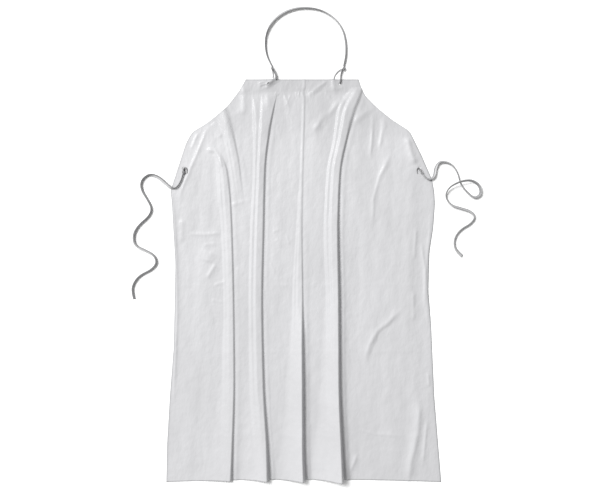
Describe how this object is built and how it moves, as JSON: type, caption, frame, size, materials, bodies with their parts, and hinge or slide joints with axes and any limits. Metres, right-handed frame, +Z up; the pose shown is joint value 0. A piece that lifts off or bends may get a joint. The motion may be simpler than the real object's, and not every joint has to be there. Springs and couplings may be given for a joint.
{
  "type": "butcher apron",
  "caption": "Clear white vinyl film bib apron laid flat in long soft folds, with a flat-tape neck strap and two flat-tape waist ties knotted at punched holes.",
  "frame": {"origin": "on the table under the middle of the laid film, the straps left out", "axes": "+Z up out of the table, +Y towards the bib, +X to the right of the apron's front"},
  "size_m": [0.9998, 1.3515, 0.042],
  "materials": {
    "film": "gloss",
    "tape": "satin"
  },
  "bodies": {
    "apron": {"apron_sheet": "film", "bib_hem": "film", "neck_loop_left": "tape", "neck_loop_right": "tape", "neck_tail_left": "tape", "neck_tail_right": "tape", "waist_loop_left": "tape", "waist_loop_right": "tape"},
    "neck_strap": {"neck_strap": "tape", "neck_knot_left": "tape", "neck_knot_right": "tape"},
    "left_tie": {"waist_tie_left": "tape", "waist_knot_left": "tape"},
    "right_tie": {"waist_tie_right": "tape", "waist_knot_right": "tape"}
  },
  "joints": [
    {"name": "neck_strap_swing", "type": "hinge", "parent": "apron", "child": "neck_strap", "pos_m": [0, 0.607, 0.0053], "axis": [1, 0, 0], "range_deg": [0, 160]},
    {"name": "left_tie_swing", "type": "hinge", "parent": "apron", "child": "left_tie", "pos_m": [-0.341, 0.304, 0.0063], "axis": [0, 1, 0], "range_deg": [0, 165]},
    {"name": "right_tie_swing", "type": "hinge", "parent": "apron", "child": "right_tie", "pos_m": [0.334, 0.307, 0.0063], "axis": [0, -1, 0], "range_deg": [0, 165]}
  ]
}
